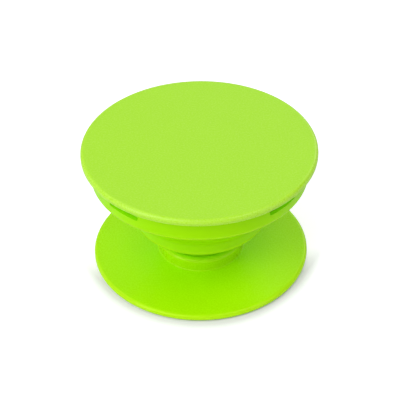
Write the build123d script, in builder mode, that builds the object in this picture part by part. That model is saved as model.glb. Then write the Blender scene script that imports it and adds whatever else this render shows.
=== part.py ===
from build123d import *

from math import cos, radians, sin
import os

# Collapsible phone grip with its bellows pulled out, standing on its adhesive pad.
# Millimetres, +Z up, origin in the middle of the pad's underside.
# Every piece is turned about the Z axis, apart from its lugs, windows and slots.

# Adhesive pad, let into the underside of the base plate
pad_thickness = 0.6
pad_stand_out = 0.2
pad_side_gap = 0.2

# Base plate, and the boss in its middle that takes the neck of the bellows
plate_diameter = 37.9
plate_thickness = 1.0
plate_rim_width = 1.55
plate_rim_rounding = 0.6
plate_lower_rounding = 0.35
boss_height = 2.4
boss_wall = 1.1
boss_shoulder_rounding = 0.7
boss_foot_fillet = 0.3
socket_depth = 1.4
ledge_thickness = 0.8

# Bellows: crown under the disc, upper web, middle wall, lower web, neck
crown_taper = 0.3
crown_height = 4.2
upper_web_drop = 5.4
middle_diameter = 23.5
middle_taper = 0.15
middle_height = 4.0
lower_web_drop = 3.35
neck_diameter = 12.6
neck_stand = 1.05
neck_flange_thickness = 1.0
wall_thickness = 1.3
web_upright_thickness = 0.85
crown_lip_rounding = 0.6
middle_lip_rounding = 1.1
middle_crease_fillet = 2.5
crease_fillet = 0.3

# Snap windows round the crown, and the disc's lugs that catch in them
window_count = 4
first_window_angle = 45.0
window_width = 6.3
window_height = 1.5
window_bridge = 0.85
window_corner_rounding = 0.3
lug_side_gap = 0.25
lug_end_gap = 0.1
lug_reach = 0.7
lug_lead_in = 0.15

# Top disc, and the ring under it that stands inside the crown
disc_diameter = 40.0
disc_overhang = 1.4
disc_thickness = 1.15
disc_upper_rounding = 0.6
disc_lower_rounding = 0.3
ring_wall = 1.2
ring_below_window = 0.05

# Split plug that pins the neck into the base plate
plug_head_gap = 0.3
plug_head_thickness = 0.9
plug_shank_diameter = 5.0
plug_tip_taper = 0.3
plug_barb_catch = 0.7
plug_barb_land = 0.2
plug_barb_room = 1.0
plug_slot_width = 0.8

# Clearances
turning_gap = 0.1
seat_gap = 0.05

# Heights, counted up from the pad's underside
plate_bottom = pad_stand_out
plate_top = plate_bottom + plate_thickness
recess_top = pad_thickness
boss_top = plate_top + boss_height
socket_floor = boss_top - socket_depth
ledge_bottom = socket_floor - ledge_thickness
barb_top = ledge_bottom - seat_gap
plug_tip = recess_top + seat_gap
neck_bottom = socket_floor + seat_gap
flange_top = neck_bottom + neck_flange_thickness
plug_top = flange_top + plug_head_thickness
neck_top = boss_top + neck_stand
middle_bottom = neck_top + lower_web_drop
middle_top = middle_bottom + middle_height
crown_bottom = middle_top + upper_web_drop
crown_top = crown_bottom + crown_height
disc_bottom = crown_top + seat_gap
disc_top = disc_bottom + disc_thickness
window_middle = crown_top - window_bridge - window_height / 2
ring_bottom = window_middle - window_height / 2 - ring_below_window

# Radii from the axis
plate_radius = plate_diameter / 2
pad_recess_radius = plate_radius - plate_rim_width
pad_radius = pad_recess_radius - pad_side_gap
shank_radius = plug_shank_diameter / 2
plug_tip_radius = shank_radius - plug_tip_taper
flange_hole_radius = shank_radius + seat_gap
ledge_bore_radius = shank_radius + turning_gap
barb_radius = ledge_bore_radius + plug_barb_catch
barb_pocket_radius = barb_radius + plug_barb_room
neck_radius = neck_diameter / 2
neck_bore_radius = neck_radius - wall_thickness
plug_head_radius = neck_bore_radius - plug_head_gap
socket_radius = neck_radius + turning_gap
boss_radius = socket_radius + boss_wall
middle_radius = middle_diameter / 2
middle_top_radius = middle_radius - middle_taper
middle_bore_radius = middle_top_radius - wall_thickness
disc_radius = disc_diameter / 2
crown_radius = disc_radius - disc_overhang
crown_top_radius = crown_radius - crown_taper
crown_bore_radius = crown_top_radius - wall_thickness
ring_radius = crown_bore_radius - seat_gap
ring_bore_radius = ring_radius - ring_wall
ring_middle_radius = ring_radius - ring_wall / 2

# Upright planes in the middle of the disc's ring, each facing out through a window
window_planes = []
for index in range(window_count):
    angle = radians(first_window_angle + 360 * index / window_count)
    outward = (cos(angle), sin(angle), 0)
    sideways = (-sin(angle), cos(angle), 0)
    middle = (ring_middle_radius * cos(angle), ring_middle_radius * sin(angle), window_middle)
    window_planes.append(Plane(origin=middle, x_dir=sideways, z_dir=outward))


def half_section(corners):
    # Face of a turned piece, from each corner's radius, height and rounding
    points = [(radius, height) for radius, height, rounding in corners]
    roundings = [rounding for radius, height, rounding in corners]
    with BuildSketch(Plane.XZ) as section:
        with BuildLine():
            FilletPolyline(*points, radius=roundings, close=True)
        make_face()
    return section.sketch


# Adhesive pad: a soft disc that fills the recess and stands out below the plate
with BuildPart() as adhesive_pad:
    pad_corners = [
        (0, 0, 0),
        (pad_radius, 0, 0),
        (pad_radius, pad_thickness, 0),
        (0, pad_thickness, 0),
    ]
    revolve(half_section(pad_corners), axis=Axis.Z)

# Base plate: rounded rim, boss with a socket for the neck, and a ledge that the plug clips under
with BuildPart() as base_plate:
    base_corners = [
        (ledge_bore_radius, ledge_bottom, 0),
        (barb_pocket_radius, ledge_bottom, 0),
        (barb_pocket_radius, recess_top, 0),
        (pad_recess_radius, recess_top, 0),
        (pad_recess_radius, plate_bottom, 0),
        (plate_radius, plate_bottom, plate_lower_rounding),
        (plate_radius, plate_top, plate_rim_rounding),
        (boss_radius, plate_top, boss_foot_fillet),
        (boss_radius, boss_top, boss_shoulder_rounding),
        (socket_radius, boss_top, 0),
        (socket_radius, socket_floor, 0),
        (ledge_bore_radius, socket_floor, 0),
    ]
    revolve(half_section(base_corners), axis=Axis.Z)

# Bellows: one soft moulding. Two thick walls and a neck are joined by thin sloping webs,
# which turn inside out as the grip is pushed shut, so that the walls nest in each other.
with BuildPart() as bellows:
    outer_corners = [
        (crown_top_radius, crown_top, 0),
        (crown_radius, crown_bottom, crown_lip_rounding),
        (crown_bore_radius, crown_bottom, crease_fillet),
        (middle_top_radius, middle_top - web_upright_thickness, middle_crease_fillet),
        (middle_radius, middle_bottom, middle_lip_rounding),
        (middle_bore_radius, middle_bottom, crease_fillet),
        (neck_radius, neck_top - web_upright_thickness, crease_fillet),
        (neck_radius, neck_bottom, 0),
    ]
    inner_corners = [
        (flange_hole_radius, neck_bottom, 0),
        (flange_hole_radius, flange_top, 0),
        (neck_bore_radius, flange_top, 0),
        (neck_bore_radius, neck_top, 0),
        (neck_radius, neck_top, 0),
        (middle_bore_radius, middle_bottom + web_upright_thickness, 0),
        (middle_bore_radius, middle_top, 0),
        (middle_top_radius, middle_top, 0),
        (crown_bore_radius, crown_bottom + web_upright_thickness, 0),
        (crown_bore_radius, crown_top, 0),
    ]
    revolve(half_section(outer_corners + inner_corners), axis=Axis.Z)
    with BuildSketch(*window_planes):
        RectangleRounded(window_width, window_height, window_corner_rounding)
    extrude(amount=crown_radius - ring_bore_radius, mode=Mode.SUBTRACT)

# Top disc: a plain face with a soft edge, and under it the ring whose lugs catch in the windows
with BuildPart() as top_disc:
    disc_corners = [
        (0, disc_bottom, 0),
        (ring_bore_radius, disc_bottom, 0),
        (ring_bore_radius, ring_bottom, 0),
        (ring_radius, ring_bottom, 0),
        (ring_radius, disc_bottom, 0),
        (disc_radius, disc_bottom, disc_lower_rounding),
        (disc_radius, disc_top, disc_upper_rounding),
        (0, disc_top, 0),
    ]
    revolve(half_section(disc_corners), axis=Axis.Z)
    lug_length = ring_radius - ring_middle_radius + lug_reach
    with BuildSketch(*window_planes):
        Rectangle(window_width - 2 * lug_side_gap, window_height - 2 * lug_end_gap)
    extrude(amount=lug_length)
    lug_tips = [faces().sort_by_distance(plane.offset(lug_length).origin)[0] for plane in window_planes]
    chamfer([tip.edges().sort_by(Axis.Z)[0] for tip in lug_tips], length=lug_lead_in)

# Snap plug: its head holds the neck's flange down, its split prongs clip under the base's ledge
with BuildPart() as snap_plug:
    plug_corners = [
        (0, plug_tip, 0),
        (plug_tip_radius, plug_tip, 0),
        (barb_radius, barb_top - plug_barb_land, 0),
        (barb_radius, barb_top, 0),
        (shank_radius, barb_top, 0),
        (shank_radius, flange_top, 0),
        (plug_head_radius, flange_top, 0),
        (plug_head_radius, plug_top, 0),
        (0, plug_top, 0),
    ]
    revolve(half_section(plug_corners), axis=Axis.Z)
    with BuildSketch(Plane.XY.offset(plug_tip)):
        Rectangle(3 * barb_radius, plug_slot_width)
        Rectangle(plug_slot_width, 3 * barb_radius)
    extrude(amount=socket_floor - plug_tip, mode=Mode.SUBTRACT)

# One STEP file for each piece
pieces = {
    "adhesive_pad": adhesive_pad,
    "base_plate": base_plate,
    "snap_plug": snap_plug,
    "bellows": bellows,
    "top_disc": top_disc,
}
os.makedirs("parts", exist_ok=True)
for name, piece in pieces.items():
    piece.part.label = name
    export_step(piece.part, f"parts/{name}.step")
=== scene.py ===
import bpy
import bmesh
from math import atan2, cos, pi, radians, sin, tan
from mathutils import Matrix, Vector


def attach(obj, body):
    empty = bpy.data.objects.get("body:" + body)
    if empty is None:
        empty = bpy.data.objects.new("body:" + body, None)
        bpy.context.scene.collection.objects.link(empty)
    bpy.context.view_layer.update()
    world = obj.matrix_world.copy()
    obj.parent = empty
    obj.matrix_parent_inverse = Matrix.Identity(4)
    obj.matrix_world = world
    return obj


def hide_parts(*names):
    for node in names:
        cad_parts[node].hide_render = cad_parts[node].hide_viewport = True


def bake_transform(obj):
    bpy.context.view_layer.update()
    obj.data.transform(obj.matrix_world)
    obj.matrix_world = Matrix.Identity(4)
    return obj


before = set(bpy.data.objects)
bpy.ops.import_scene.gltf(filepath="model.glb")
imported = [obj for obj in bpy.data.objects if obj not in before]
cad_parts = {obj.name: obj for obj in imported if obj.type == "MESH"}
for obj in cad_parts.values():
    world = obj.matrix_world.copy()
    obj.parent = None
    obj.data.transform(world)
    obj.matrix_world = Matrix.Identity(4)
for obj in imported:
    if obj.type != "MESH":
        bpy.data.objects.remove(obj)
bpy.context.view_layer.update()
mm = 0.001  # metres
white = (1.0, 1.0, 1.0, 1.0)
print("frame loaded:", sorted(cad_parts))


# Helpers for objects, directions and shader nodes


def addObject(name, data):
    made = bpy.data.objects.new(name, data)
    bpy.context.scene.collection.objects.link(made)
    return made


def outwardAt(turnDegrees, riseDegrees):
    # Unit vector away from the grip, turned to the right of the front and raised
    turn, rise = radians(turnDegrees), radians(riseDegrees)
    return Vector((sin(turn) * cos(rise), -cos(turn) * cos(rise), sin(rise)))


def addNode(tree, kind, inputs=None, **settings):
    # Each input is a number, a colour or the socket that feeds it
    node = tree.nodes.new(kind)
    for key, value in settings.items():
        setattr(node, key, value)
    for key, value in (inputs or {}).items():
        if isinstance(value, bpy.types.NodeSocket):
            tree.links.new(value, node.inputs[key])
        else:
            node.inputs[key].default_value = value
    return node


def maths(tree, operation, *terms, clamp=False):
    inputs = dict(enumerate(terms))
    return addNode(tree, "ShaderNodeMath", inputs, operation=operation, use_clamp=clamp).outputs[0]


def mapRange(tree, value, fromMin, fromMax, toMin=0.0, toMax=1.0):
    inputs = {"Value": value, "From Min": fromMin, "From Max": fromMax, "To Min": toMin, "To Max": toMax}
    return addNode(tree, "ShaderNodeMapRange", inputs).outputs["Result"]


def mixColours(tree, factor, first, second):
    inputs = {"Factor": factor, "A": first, "B": second}
    mix = addNode(tree, "ShaderNodeMix", inputs, data_type="RGBA")
    return mix.outputs[2]  # the colour, after the number and the vector


# Camera at the photograph's angle, a long lens about 217 mm away; angles in degrees, lens in millimetres
cameraLook = {
    "azimuth": -2.2,  # puts the snap windows a little to the right, as in the photograph
    "elevation": 38.75,
    "roll": -0.863,
    "distance": 216.6 * mm,
    "aim": (0.0, 0.0, 10.4 * mm),
    "lens": 111.93,
    "sensorWidth": 36.0,
    "clipStart": 0.01,
    "clipEnd": 10.0,
    "slideUp": 0.478 * mm,
    "slideRight": -0.012 * mm,
}


def makeCamera(look):
    data = bpy.data.cameras.new("camera")
    camera = addObject("camera", data)
    back = outwardAt(look["azimuth"], look["elevation"])
    roll = Matrix.Rotation(radians(look["roll"]), 3, "Z")
    basis = (-back).to_track_quat("-Z", "Y").to_matrix() @ roll
    slide = basis @ Vector((look["slideRight"], look["slideUp"], 0))
    place = Vector(look["aim"]) + back * look["distance"] + slide
    camera.matrix_world = Matrix.Translation(place) @ basis.to_4x4()
    data.sensor_width = look["sensorWidth"]
    data.lens = look["lens"]
    data.clip_start, data.clip_end = look["clipStart"], look["clipEnd"]
    bpy.context.scene.camera = camera


# Plain pale floor and soft studio light
studioLook = {
    "floorSize": 1.8,
    # a trace of violet, against the green that the grip throws on it
    "floorColour": (0.91, 0.84, 0.98, 1.0),
    "floorRoughness": 0.8,
    "floorSpecular": 0.2,
    # the floor's own glow, seen by the camera alone, grows with the radius and from front to back
    "glow": 0.5,
    "glowInner": 19.2 * mm,
    "glowOuter": 21.8 * mm,
    "glowFront": -8 * mm,
    "glowBack": -1 * mm,
    "glowFar": 500 * mm,  # from here on the floor glows at least as brightly as the backdrop
    "seenBackdrop": 1.0,
    "skyStrength": 0.26,
    "lampReach": 0.55,
    "lampSize": 0.28,
    "lampAim": (0.0, 0.0, 10 * mm),
    # name: (degrees to the right of the front, degrees up, watts)
    "lamps": {
        "front": (0, 42, 0.10),
        "rightLow": (60, 20, 0.32),
        "rightHigh": (60, 62, 0.48),
        "backRight": (150, 30, 0.37),
        "backLow": (180, 20, 0.13),
        "backLeftLow": (240, 20, 0.11),
        "backLeft": (240, 42, 0.11),
        "backLeftHigh": (240, 62, 0.26),
        "leftLow": (300, 20, 0.52),
        "left": (300, 42, 0.57),
        "frontLeft": (330, 30, 0.13),
        "frontLeftHigh": (330, 55, 0.43),
    },
}


def floorMaterial(look):
    paint = bpy.data.materials.new("floorPaint")
    paint.use_nodes = True
    tree = paint.node_tree
    shader = tree.nodes["Principled BSDF"]
    shader.inputs["Base Color"].default_value = look["floorColour"]
    shader.inputs["Roughness"].default_value = look["floorRoughness"]
    shader.inputs["Specular IOR Level"].default_value = look["floorSpecular"]
    shader.inputs["Emission Color"].default_value = white
    place = addNode(tree, "ShaderNodeTexCoord").outputs["Object"]
    radius = addNode(tree, "ShaderNodeVectorMath", {0: place}, operation="LENGTH").outputs["Value"]
    depth = addNode(tree, "ShaderNodeSeparateXYZ", {0: place}).outputs["Y"]
    outwards = mapRange(tree, radius, look["glowInner"], look["glowOuter"], 0.0, look["glow"])
    backwards = mapRange(tree, depth, look["glowFront"], look["glowBack"], 0.0, look["glow"])
    near = maths(tree, "MAXIMUM", outwards, backwards)
    far = maths(tree, "DIVIDE", radius, look["glowFar"])
    glow = maths(tree, "MAXIMUM", near, far)
    seen = addNode(tree, "ShaderNodeLightPath").outputs["Is Camera Ray"]
    tree.links.new(maths(tree, "MULTIPLY", glow, seen), shader.inputs["Emission Strength"])
    return paint


def makeFloor(look):
    half = look["floorSize"] / 2
    corners = [(-half, -half, 0), (half, -half, 0), (half, half, 0), (-half, half, 0)]
    mesh = bpy.data.meshes.new("floor")
    mesh.from_pydata(corners, [], [(0, 1, 2, 3)])
    mesh.materials.append(floorMaterial(look))
    floor = addObject("floor", mesh)


def makeSky(look):
    # The camera sees a white backdrop, and the grip is lit by a dimmer sky
    world = bpy.data.worlds.new("studio")
    bpy.context.scene.world = world
    world.use_nodes = True
    tree = world.node_tree
    backdrop = tree.nodes["Background"]
    backdrop.inputs["Color"].default_value = white
    seen = addNode(tree, "ShaderNodeLightPath").outputs["Is Camera Ray"]
    strength = mapRange(tree, seen, 0.0, 1.0, look["skyStrength"], look["seenBackdrop"])
    tree.links.new(strength, backdrop.inputs["Strength"])


def makeLamps(look):
    # Round soft lamps, all aimed at the grip
    for name, (turn, rise, watts) in look["lamps"].items():
        data = bpy.data.lights.new(name, "AREA")
        data.shape = "DISK"
        data.size = look["lampSize"]
        data.energy = watts
        lamp = addObject(name, data)
        outward = outwardAt(turn, rise)
        lamp.location = Vector(look["lampAim"]) + outward * look["lampReach"]
        lamp.rotation_euler = (-outward).to_track_quat("-Z", "Y").to_euler()


makeCamera(cameraLook)
makeFloor(studioLook)
makeSky(studioLook)
makeLamps(studioLook)
bpy.context.scene.view_settings.view_transform = "Standard"
print("camera and studio ready")


# Outlines, turned pieces and blocks
meshDetail = {
    "segments": 256,  # round every turned piece
    "cornerSteps": 8,  # in each rounded corner of a turned piece's outline
    "guards": (0.06, 0.48),  # mm from a rounded corner to the extra points on the straights beside it
    "guardRoom": 3,  # a guard is left out on a straight shorter than this many times its distance
    "poleRadius": 1e-7,  # metres from the axis; a nearer point is a pole
    "fullTurn": 0.19,  # radians between two faces that count as a whole edge or crease
    "sharpAngle": 28,  # degrees between two faces from which the edge between them stays hard
    "blockCornerSteps": 5,
    "blockBevelSteps": 2,
}


def roundedOutline(corners, steps=meshDetail["cornerSteps"], guards=meshDetail["guards"]):
    # Corners are (radius, height, rounding) in millimetres, closed; returns points in metres
    # Guard points on the straights beside each arc keep the flat faces flat in smooth shading
    places = [Vector(corner[:2]) for corner in corners]
    roundings = [corner[2] for corner in corners]
    count = len(corners)
    halves = []
    for index, here in enumerate(places):
        halves.append((places[index - 1] - here).angle(places[(index + 1) % count] - here) / 2)
    tangents = [rounding / tan(half) for rounding, half in zip(roundings, halves)]
    points = []
    for index, here in enumerate(places):
        rounding, reach = roundings[index], tangents[index]
        if rounding <= 0:
            points.append(here * mm)
            continue
        last, following = index - 1, (index + 1) % count
        before, after = places[last] - here, places[following] - here
        freeBefore = before.length - reach - tangents[last]
        freeAfter = after.length - reach - tangents[following]
        before.normalize()
        after.normalize()
        middle = here + (before + after).normalized() * (rounding / sin(halves[index]))
        start, end = before * reach + here - middle, after * reach + here - middle
        first = atan2(start.y, start.x)
        sweep = (atan2(end.y, end.x) - first + pi) % (2 * pi) - pi
        for guard in reversed(guards):
            if freeBefore > meshDetail["guardRoom"] * guard:
                points.append((here + before * (reach + guard)) * mm)
        for step in range(steps + 1):
            angle = first + sweep * step / steps
            points.append((middle + Vector((cos(angle), sin(angle))) * rounding) * mm)
        for guard in guards:
            if freeAfter > meshDetail["guardRoom"] * guard:
                points.append((here + after * (reach + guard)) * mm)
    return points


def turnedMesh(name, outline):
    # Spins a closed half section round Z; points on the axis become one pole each
    # Each vertex keeps how far the surface turns outwards and inwards (hollow), for the materials: the
    # outward turn places a painted edge highlight, glossier plastic and flattened grain, and the inward
    # turn a painted crease shade
    count = meshDetail["segments"]
    builder = bmesh.new()
    outwardTurn = builder.verts.layers.float.new("outwardTurn")
    hollow = builder.verts.layers.float.new("hollow")
    rings = []
    for point in outline:
        if point.x < meshDetail["poleRadius"]:
            rings.append([builder.verts.new((0, 0, point.y))] * count)
            continue
        ring = []
        for step in range(count):
            angle = 2 * pi * step / count
            ring.append(builder.verts.new((point.x * cos(angle), point.x * sin(angle), point.y)))
        rings.append(ring)
    for low, high in zip(rings, rings[1:] + rings[:1]):
        for step in range(count):
            after = (step + 1) % count
            loop = []
            for vertex in (low[step], low[after], high[after], high[step]):
                if vertex not in loop:
                    loop.append(vertex)
            if len(loop) > 2:
                builder.faces.new(loop)
    bmesh.ops.recalc_face_normals(builder, faces=builder.faces)
    for vertex in builder.verts:
        turns = [edge.calc_face_angle_signed(0.0) / meshDetail["fullTurn"] for edge in vertex.link_edges]
        vertex[outwardTurn] = min(max(max(turns), 0.0), 1.0)
        vertex[hollow] = min(max(-min(turns), 0.0), 1.0)
    mesh = bpy.data.meshes.new(name)
    builder.to_mesh(mesh)
    builder.free()
    return mesh


def combine(mesh, toolMeshes, operation):
    # Boolean of a mesh with each tool mesh, returned as a new mesh
    holder = addObject("combineBase", mesh)
    tools = []
    for toolMesh in toolMeshes:
        tool = addObject("combineTool", toolMesh)
        modifier = holder.modifiers.new("combine", "BOOLEAN")
        modifier.object = tool
        modifier.operation = operation
        modifier.solver = "EXACT"
        tools.append(tool)
    evaluated = holder.evaluated_get(bpy.context.evaluated_depsgraph_get())
    result = bpy.data.meshes.new_from_object(evaluated)
    for spent in tools + [holder]:
        bpy.data.objects.remove(spent)
    return result


def roundedBlock(width, height, inner, outer, middleHeight, angle, rounding, bevel=0.0):
    # Block that faces outwards at an angle, with rounded corners in its face; sizes in millimetres
    corners = [
        (-width / 2, -height / 2, rounding),
        (width / 2, -height / 2, rounding),
        (width / 2, height / 2, rounding),
        (-width / 2, height / 2, rounding),
    ]
    outline = roundedOutline(corners, meshDetail["blockCornerSteps"], ())
    builder = bmesh.new()
    spin = Matrix.Rotation(radians(angle), 4, "Z")
    ends = []
    for reach in (inner, outer):
        places = [spin @ Vector((reach * mm, point.x, point.y + middleHeight * mm)) for point in outline]
        ends.append([builder.verts.new(place) for place in places])
    for step in range(len(outline)):
        after = (step + 1) % len(outline)
        builder.faces.new((ends[0][step], ends[0][after], ends[1][after], ends[1][step]))
    builder.faces.new(ends[0])
    outerFace = builder.faces.new(ends[1])
    if bevel > 0:
        bmesh.ops.bevel(builder, geom=list(outerFace.edges), offset=bevel * mm,
                        segments=meshDetail["blockBevelSteps"], affect="EDGES")
    bmesh.ops.recalc_face_normals(builder, faces=builder.faces)
    mesh = bpy.data.meshes.new("block")
    builder.to_mesh(mesh)
    builder.free()
    return mesh


def makePiece(name, mesh, paint, node):
    piece = addObject(name, mesh)
    mesh.polygons.foreach_set("use_smooth", [True] * len(mesh.polygons))
    mesh.set_sharp_from_angle(angle=radians(meshDetail["sharpAngle"]))
    mesh.materials.clear()
    mesh.materials.append(paint)
    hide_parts(node)
    return piece


# Shader groups that the plastics share
floatSocket = "NodeSocketFloat"
colourSocket = "NodeSocketColor"


def newGroup(name, inputs, outputs):
    # Inputs are given with their default values, outputs with their kinds of socket
    group = bpy.data.node_groups.new(name, "ShaderNodeTree")
    for label, value in inputs.items():
        kind = colourSocket if isinstance(value, tuple) else floatSocket
        group.interface.new_socket(name=label, in_out="INPUT", socket_type=kind).default_value = value
    for label, kind in outputs.items():
        group.interface.new_socket(name=label, in_out="OUTPUT", socket_type=kind)
    inside = group.nodes.new("NodeGroupInput")
    outside = group.nodes.new("NodeGroupOutput")
    return group, inside, outside


# Fine pitted grain that spark erosion leaves on a mould, for bump and roughness
sparkLook = {
    "detail": 3.0,
    "roughness": 0.62,
    "pitsPerGrain": 2.3,
    "pitSmoothness": 0.6,
    "pitDepth": 0.55,
    "middle": 0.5,  # where the grain leaves the gloss as it is
}


def sparkGroup(look):
    group, inside, outside = newGroup(
        "sparkGrain",
        {"Grain Size": 0.12, "Gloss": 0.45, "Gloss Spread": 0.08},  # the size is in millimetres
        {"Height": floatSocket, "Roughness": floatSocket, "Grain": floatSocket},
    )
    place = addNode(group, "ShaderNodeTexCoord").outputs["Object"]
    perMetre = maths(group, "DIVIDE", 1 / mm, inside.outputs["Grain Size"])
    noise = {"Vector": place, "Scale": perMetre, "Detail": look["detail"], "Roughness": look["roughness"]}
    grain = addNode(group, "ShaderNodeTexNoise", noise).outputs["Fac"]
    finer = maths(group, "MULTIPLY", perMetre, look["pitsPerGrain"])
    cells = {"Vector": place, "Scale": finer, "Smoothness": look["pitSmoothness"]}
    pits = addNode(group, "ShaderNodeTexVoronoi", cells, feature="SMOOTH_F1").outputs["Distance"]
    height = maths(group, "MULTIPLY_ADD", pits, look["pitDepth"], grain)
    centred = maths(group, "SUBTRACT", grain, look["middle"])
    rough = maths(group, "MULTIPLY_ADD", centred, inside.outputs["Gloss Spread"], inside.outputs["Gloss"])
    group.links.new(height, outside.inputs["Height"])
    group.links.new(rough, outside.inputs["Roughness"])
    group.links.new(grain, outside.inputs["Grain"])
    return group


# Dyed plastic: slow drifts of colour from the melt's flow, and paler grain
dyeLook = {
    "driftDetail": 2.0,
    "driftDistortion": 0.8,
    "grainStart": 0.45,
    "grainFull": 0.75,
}


def dyeGroup(look):
    group, inside, outside = newGroup(
        "dyedPlastic",
        {
            "Colour": (0.3, 0.7, 0.0, 1),
            "Drift Colour": (0.35, 0.75, 0.0, 1),
            "Grain Colour": (0.5, 0.85, 0.1, 1),
            "Grain": 0.5,
            "Drift Size": 14.0,  # millimetres
            "Grain Amount": 0.15,
        },
        {"Colour": colourSocket},
    )
    place = addNode(group, "ShaderNodeTexCoord").outputs["Object"]
    noise = {
        "Vector": place,
        "Scale": maths(group, "DIVIDE", 1 / mm, inside.outputs["Drift Size"]),
        "Detail": look["driftDetail"],
        "Distortion": look["driftDistortion"],
    }
    drift = addNode(group, "ShaderNodeTexNoise", noise).outputs["Fac"]
    dyed = mixColours(group, drift, inside.outputs["Colour"], inside.outputs["Drift Colour"])
    sharpened = mapRange(group, inside.outputs["Grain"], look["grainStart"], look["grainFull"])
    amount = maths(group, "MULTIPLY", sharpened, inside.outputs["Grain Amount"])
    grained = mixColours(group, amount, dyed, inside.outputs["Grain Colour"])
    group.links.new(grained, outside.inputs["Colour"])
    return group


# Painted highlight, a paler colour, along edges where the surface curves outwards, and painted shade, a
# darker colour, in creases where it curves inwards
# Along an edge the grain is also worn flat and the plastic is glossier
edgeLook = {
    "start": 0.3,  # share of a whole edge or crease at which it begins to show
    "full": 0.9,
    "rubsPerMetre": 420.0,  # the noise that breaks up the painted edge highlight
    "rubDetail": 3.0,
    "rubLow": 0.3,
    "rubHigh": 0.7,
    "leastHighlight": 0.6,
    "wornHeight": 0.67,  # the grain's mean height, at which a worn edge lies
}


def edgeGroup(look):
    # Masks for the painted edge highlight and the painted crease shade, and the real gloss and flattened
    # grain along edges
    group, inside, outside = newGroup(
        "edgeHighlightCreaseShadeAndPolish",
        {
            "Start": look["start"],
            "Full": look["full"],
            "Amount": 0.5,
            "Crease Shade Amount": 0.5,
            "Height": 0.0,
            "Roughness": 0.4,
            "Polish": 0.1,
        },
        {"Edge": floatSocket, "Crease": floatSocket, "Height": floatSocket, "Roughness": floatSocket},
    )
    start, full = inside.outputs["Start"], inside.outputs["Full"]
    place = addNode(group, "ShaderNodeTexCoord").outputs["Object"]
    outwardTurn = addNode(group, "ShaderNodeAttribute", attribute_name="outwardTurn").outputs["Fac"]
    hollow = addNode(group, "ShaderNodeAttribute", attribute_name="hollow").outputs["Fac"]
    edge = mapRange(group, outwardTurn, start, full)
    crease = mapRange(group, hollow, start, full)
    noise = {"Vector": place, "Scale": look["rubsPerMetre"], "Detail": look["rubDetail"]}
    rub = addNode(group, "ShaderNodeTexNoise", noise).outputs["Fac"]
    mottle = mapRange(group, rub, look["rubLow"], look["rubHigh"], look["leastHighlight"], 1.0)
    broken = maths(group, "MULTIPLY", edge, mottle)
    # painted highlight: the share of the paler edge colour along outward edges
    paintedHighlight = maths(group, "MULTIPLY", broken, inside.outputs["Amount"], clamp=True)
    # painted shade: the share of the darker crease colour in inward creases
    paintedShade = maths(group, "MULTIPLY", crease, inside.outputs["Crease Shade Amount"], clamp=True)
    unworn = maths(group, "SUBTRACT", 1.0, edge)
    centred = maths(group, "SUBTRACT", inside.outputs["Height"], look["wornHeight"])
    height = maths(group, "MULTIPLY", centred, unworn)
    shine = maths(group, "MULTIPLY", edge, inside.outputs["Polish"])
    rough = maths(group, "SUBTRACT", inside.outputs["Roughness"], shine, clamp=True)
    group.links.new(paintedHighlight, outside.inputs["Edge"])
    group.links.new(paintedShade, outside.inputs["Crease"])
    group.links.new(height, outside.inputs["Height"])
    group.links.new(rough, outside.inputs["Roughness"])
    return group


def dyedMaterial(name, look, groups):
    # One moulded plastic: dye, grain, glossier edges with a painted highlight and creases with painted
    # shade, feeding a single shader
    paint = bpy.data.materials.new(name)
    paint.use_nodes = True
    tree = paint.node_tree
    shader = tree.nodes["Principled BSDF"]
    grainInputs = {
        "Grain Size": look["grainSize"],
        "Gloss": look["roughness"],
        "Gloss Spread": look["roughnessSpread"],
    }
    grain = addNode(tree, "ShaderNodeGroup", grainInputs, node_tree=groups["spark"])
    dyeInputs = {
        "Colour": look["colour"],
        "Drift Colour": look["driftColour"],
        "Grain Colour": look["grainColour"],
        "Grain": grain.outputs["Grain"],
        "Drift Size": look["driftSize"],
        "Grain Amount": look["grainAmount"],
    }
    dye = addNode(tree, "ShaderNodeGroup", dyeInputs, node_tree=groups["dye"])
    edgeInputs = {
        "Amount": look["edgeHighlightAmount"],
        "Crease Shade Amount": look["creaseShadeAmount"],
        "Height": grain.outputs["Height"],
        "Roughness": grain.outputs["Roughness"],
        "Polish": look["edgePolish"],
    }
    edge = addNode(tree, "ShaderNodeGroup", edgeInputs, node_tree=groups["edge"])
    # paler edge colour mixed in: a painted highlight
    highlighted = mixColours(tree, edge.outputs["Edge"], dye.outputs["Colour"], look["edgeHighlightColour"])
    # darker crease colour mixed in: a painted shade
    creaseShaded = mixColours(tree, edge.outputs["Crease"], highlighted, look["creaseShadeColour"])
    bumpInputs = {
        "Strength": look["bumpStrength"],
        "Distance": look["bumpDepth"],
        "Height": edge.outputs["Height"],
    }
    bump = addNode(tree, "ShaderNodeBump", bumpInputs)
    tree.links.new(creaseShaded, shader.inputs["Base Color"])
    tree.links.new(edge.outputs["Roughness"], shader.inputs["Roughness"])
    tree.links.new(bump.outputs["Normal"], shader.inputs["Normal"])
    for socket, value in look["shader"].items():
        shader.inputs[socket].default_value = value
    return paint


groups = {"spark": sparkGroup(sparkLook), "dye": dyeGroup(dyeLook), "edge": edgeGroup(edgeLook)}
print("shader groups ready")


# Snap windows in the bellows' crown and the disc's lugs behind them; millimetres and degrees
snapLook = {
    "count": 4,
    "firstAngle": 45.0,
    "windowWidth": 6.3,
    "windowHeight": 1.5,
    "windowMiddle": 20.0,
    "windowRounding": 0.3,
    "windowOvercut": 1.0,  # how far the cutters reach past the wall on both sides
    "lugWidth": 5.8,
    "lugHeight": 1.3,
    "lugReach": 0.7,
    "lugRounding": 0.12,
    "lugBevel": 0.1,
}


def snapBlocks(snap, width, height, inner, outer, rounding, bevel=0.0):
    # One block at each window
    blocks = []
    middleHeight = snap["windowMiddle"]
    for index in range(snap["count"]):
        angle = snap["firstAngle"] + 360 * index / snap["count"]
        blocks.append(roundedBlock(width, height, inner, outer, middleHeight, angle, rounding, bevel))
    return blocks


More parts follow.
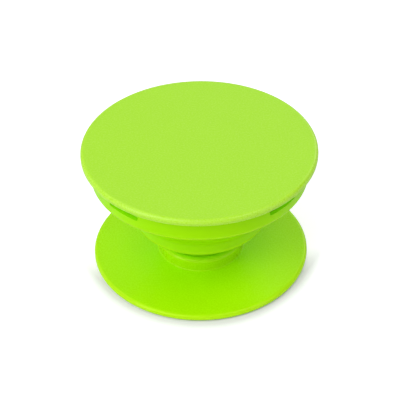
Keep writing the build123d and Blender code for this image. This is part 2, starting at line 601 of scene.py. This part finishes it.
# Top disc: plain face, soft edge, ring and lugs underneath; radii, heights and roundings in millimetres
discLook = {
    "radius": 20.0,
    "top": 22.80,
    "bottom": 21.65,
    "upperRounding": 0.6,
    "lowerRounding": 0.3,
    "ringRadius": 16.95,
    "ringBore": 15.75,
    "ringBottom": 19.2,
    "ringFillet": 0.15,
    "ringRounding": 0.1,
    "material": {
        "colour": (0.42, 0.86, 0.008, 1),
        "driftColour": (0.435, 0.875, 0.012, 1),
        "grainColour": (0.60, 0.95, 0.14, 1),
        # edge colour and amount: a painted highlight along outward edges
        "edgeHighlightColour": (0.56, 0.95, 0.05, 1),
        "edgeHighlightAmount": 0.45,
        "edgePolish": 0.2,
        # crease colour and amount: a painted shade in inward creases
        "creaseShadeColour": (0.25, 0.70, 0.0, 1),
        "creaseShadeAmount": 0.4,
        "driftSize": 15.0,
        "grainSize": 0.3,
        "grainAmount": 0.5,
        "roughness": 0.5,
        "roughnessSpread": 0.3,
        "bumpStrength": 0.6,
        "bumpDepth": 0.08 * mm,
        "shader": {"Specular IOR Level": 0.5},
    },
}


def makeTopDisc(look, snap, paint):
    corners = [
        (0, look["bottom"], 0),
        (look["ringBore"], look["bottom"], look["ringFillet"]),
        (look["ringBore"], look["ringBottom"], look["ringRounding"]),
        (look["ringRadius"], look["ringBottom"], look["ringRounding"]),
        (look["ringRadius"], look["bottom"], 0),
        (look["radius"], look["bottom"], look["lowerRounding"]),
        (look["radius"], look["top"], look["upperRounding"]),
        (0, look["top"], 0),
    ]
    body = turnedMesh("topDisc", roundedOutline(corners))
    ringMiddle = (look["ringRadius"] + look["ringBore"]) / 2
    lugEnd = look["ringRadius"] + snap["lugReach"]
    lugs = snapBlocks(snap, snap["lugWidth"], snap["lugHeight"], ringMiddle, lugEnd,
                      snap["lugRounding"], snap["lugBevel"])
    mesh = combine(body, lugs, "UNION")
    piece = makePiece("topDisc", mesh, paint, "top_disc")
    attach(piece, "top")


makeTopDisc(discLook, snapLook, dyedMaterial("discPlastic", discLook["material"], groups))
print("top disc made")


# Bellows: crown, middle wall and neck, joined by two thin sloping webs
bellowsLook = {
    "crownTop": 21.6,
    "crownTopRadius": 18.3,
    "crownBottom": 17.4,
    "crownRadius": 18.6,
    "crownBore": 17.0,
    "middleTop": 12.0,
    "middleTopRadius": 11.6,
    "middleBottom": 8.0,
    "middleRadius": 11.75,
    "middleBore": 10.3,
    "neckTop": 4.65,
    "neckRadius": 6.3,
    "neckBore": 5.0,
    "neckBottom": 2.25,
    "flangeTop": 3.25,
    "flangeHole": 2.55,
    "webUpright": 0.85,
    "crownLip": 0.6,
    "middleLip": 1.1,
    "middleCrease": 2.5,
    "creaseFillet": 0.3,
    "crownTopRounding": 0.2,
    "middleTopRounding": 0.3,
    "neckTopRounding": 0.2,
    "neckBottomRounding": 0.1,
    "foldEnd": 18.4,  # height above which the real grip's crown moves with the disc
    "material": {
        "colour": (0.375, 0.90, 0.0, 1),
        "driftColour": (0.395, 0.91, 0.0, 1),
        "grainColour": (0.43, 0.93, 0.0, 1),
        # edge colour and amount: a painted highlight along outward edges
        "edgeHighlightColour": (0.58, 0.96, 0.02, 1),
        "edgeHighlightAmount": 0.4,
        "edgePolish": 0.12,
        # crease colour and amount: a painted shade in inward creases
        "creaseShadeColour": (0.22, 0.72, 0.0, 1),
        "creaseShadeAmount": 0.5,
        "driftSize": 9.0,
        "grainSize": 0.1,
        "grainAmount": 0.08,
        "roughness": 0.3,
        "roughnessSpread": 0.12,
        "bumpStrength": 0.12,
        "bumpDepth": 0.02 * mm,
        "shader": {"Specular IOR Level": 0.15, "Specular Tint": (0.9, 1.0, 0.15, 1)},
    },
}


def makeBellows(look, snap, paint):
    crease = look["creaseFillet"]
    outerCorners = [
        (look["crownTopRadius"], look["crownTop"], look["crownTopRounding"]),
        (look["crownRadius"], look["crownBottom"], look["crownLip"]),
        (look["crownBore"], look["crownBottom"], crease),
        (look["middleTopRadius"], look["middleTop"] - look["webUpright"], look["middleCrease"]),
        (look["middleRadius"], look["middleBottom"], look["middleLip"]),
        (look["middleBore"], look["middleBottom"], crease),
        (look["neckRadius"], look["neckTop"] - look["webUpright"], crease),
        (look["neckRadius"], look["neckBottom"], look["neckBottomRounding"]),
    ]
    innerCorners = [
        (look["flangeHole"], look["neckBottom"], 0),
        (look["flangeHole"], look["flangeTop"], 0),
        (look["neckBore"], look["flangeTop"], 0),
        (look["neckBore"], look["neckTop"], look["neckTopRounding"]),
        (look["neckRadius"], look["neckTop"], 0),
        (look["middleBore"], look["middleBottom"] + look["webUpright"], 0),
        (look["middleBore"], look["middleTop"], look["middleTopRounding"]),
        (look["middleTopRadius"], look["middleTop"], 0),
        (look["crownBore"], look["crownBottom"] + look["webUpright"], 0),
        (look["crownBore"], look["crownTop"], look["crownTopRounding"]),
    ]
    body = turnedMesh("bellows", roundedOutline(outerCorners + innerCorners))
    cutStart = look["crownBore"] - snap["windowOvercut"]
    cutEnd = look["crownRadius"] + snap["windowOvercut"]
    windows = snapBlocks(snap, snap["windowWidth"], snap["windowHeight"], cutStart, cutEnd,
                         snap["windowRounding"])
    mesh = combine(body, windows, "DIFFERENCE")
    piece = makePiece("foldingBellows", mesh, paint, "bellows")
    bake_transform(piece)


makeBellows(bellowsLook, snapLook, dyedMaterial("bellowsElastomer", bellowsLook["material"], groups))
print("bellows made")


# Base plate with its boss, pad recess and the ledge that the plug clips under
baseLook = {
    "radius": 18.95,
    "top": 1.2,
    "bottom": 0.2,
    "rimRounding": 0.6,
    "lowerRounding": 0.35,
    "bossRadius": 7.5,
    "bossTop": 3.6,
    "bossShoulder": 0.7,
    "bossFoot": 0.3,
    "socketRadius": 6.4,
    "socketFloor": 2.2,
    "socketRounding": 0.1,
    "ledgeBore": 2.6,
    "ledgeBottom": 1.4,
    "pocketRadius": 4.3,
    "recessRadius": 17.4,
    "recessTop": 0.6,
    "recessRounding": 0.08,
    "material": {
        "colour": (0.455, 0.91, 0.0, 1),
        "driftColour": (0.47, 0.92, 0.0, 1),
        "grainColour": (0.54, 0.93, 0.03, 1),
        # edge colour and amount: a painted highlight along outward edges
        "edgeHighlightColour": (0.56, 0.95, 0.02, 1),
        "edgeHighlightAmount": 0.3,
        "edgePolish": 0.15,
        # crease colour and amount: a painted shade in inward creases
        "creaseShadeColour": (0.24, 0.74, 0.0, 1),
        "creaseShadeAmount": 0.12,
        "driftSize": 16.0,
        "grainSize": 0.3,
        "grainAmount": 0.06,
        "roughness": 0.27,
        "roughnessSpread": 0.8,
        "bumpStrength": 0.6,
        "bumpDepth": 0.06 * mm,
        "shader": {"Specular IOR Level": 0.4, "Specular Tint": (1.0, 1.0, 0.25, 1)},
    },
}


def makeBasePlate(look, paint):
    corners = [
        (look["ledgeBore"], look["ledgeBottom"], 0),
        (look["pocketRadius"], look["ledgeBottom"], 0),
        (look["pocketRadius"], look["recessTop"], 0),
        (look["recessRadius"], look["recessTop"], 0),
        (look["recessRadius"], look["bottom"], look["recessRounding"]),
        (look["radius"], look["bottom"], look["lowerRounding"]),
        (look["radius"], look["top"], look["rimRounding"]),
        (look["bossRadius"], look["top"], look["bossFoot"]),
        (look["bossRadius"], look["bossTop"], look["bossShoulder"]),
        (look["socketRadius"], look["bossTop"], look["socketRounding"]),
        (look["socketRadius"], look["socketFloor"], 0),
        (look["ledgeBore"], look["socketFloor"], 0),
    ]
    mesh = turnedMesh("basePlate", roundedOutline(corners))
    piece = makePiece("basePlate", mesh, paint, "base_plate")
    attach(piece, "base")


makeBasePlate(baseLook, dyedMaterial("basePlastic", baseLook["material"], groups))
print("base plate made")


# Adhesive pad: a thin gel disc with a soft lower edge
padLook = {
    "radius": 17.2,
    "top": 0.6,
    "bottom": 0.0,
    "edgeRounding": 0.15,
    "material": {
        "colour": (0.035, 0.036, 0.04, 1),
        "driftColour": (0.05, 0.05, 0.055, 1),
        "grainColour": (0.10, 0.10, 0.11, 1),
        # edge colour and amount: a painted highlight along outward edges
        "edgeHighlightColour": (0.12, 0.12, 0.13, 1),
        "edgeHighlightAmount": 0.2,
        "edgePolish": 0.1,
        # crease colour and amount: a painted shade in inward creases
        "creaseShadeColour": (0.02, 0.02, 0.022, 1),
        "creaseShadeAmount": 0.3,
        "driftSize": 6.0,
        "grainSize": 0.35,
        "grainAmount": 0.3,
        "roughness": 0.3,
        "roughnessSpread": 0.3,
        "bumpStrength": 0.3,
        "bumpDepth": 0.03 * mm,
        "shader": {"Specular IOR Level": 0.5},
    },
}


def makePad(look, paint):
    corners = [
        (0, look["bottom"], 0),
        (look["radius"], look["bottom"], look["edgeRounding"]),
        (look["radius"], look["top"], 0),
        (0, look["top"], 0),
    ]
    mesh = turnedMesh("adhesivePad", roundedOutline(corners))
    piece = makePiece("adhesivePad", mesh, paint, "adhesive_pad")
    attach(piece, "base")


makePad(padLook, dyedMaterial("adhesiveGel", padLook["material"], groups))
print("adhesive pad made")


# Snap plug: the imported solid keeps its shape, in natural undyed plastic
plugLook = {
    "material": {
        "colour": (0.72, 0.73, 0.69, 1),
        "driftColour": (0.78, 0.79, 0.76, 1),
        "grainColour": (0.85, 0.85, 0.82, 1),
        # edge colour and amount: a painted highlight along outward edges
        "edgeHighlightColour": (0.9, 0.9, 0.88, 1),
        "edgeHighlightAmount": 0.25,
        "edgePolish": 0.1,
        # crease colour and amount: a painted shade in inward creases
        "creaseShadeColour": (0.55, 0.55, 0.5, 1),
        "creaseShadeAmount": 0.4,
        "driftSize": 3.0,
        "grainSize": 0.1,
        "grainAmount": 0.15,
        "roughness": 0.42,
        "roughnessSpread": 0.15,
        "bumpStrength": 0.15,
        "bumpDepth": 0.02 * mm,
        "shader": {
            "Specular IOR Level": 0.5,
            "Subsurface Weight": 0.1,
            "Subsurface Radius": (2 * mm, 2 * mm, 2 * mm),
        },
    },
}
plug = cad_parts["snap_plug"]
plug.material_slots[0].material = dyedMaterial("plugPlastic", plugLook["material"], groups)
print("snap plug painted")
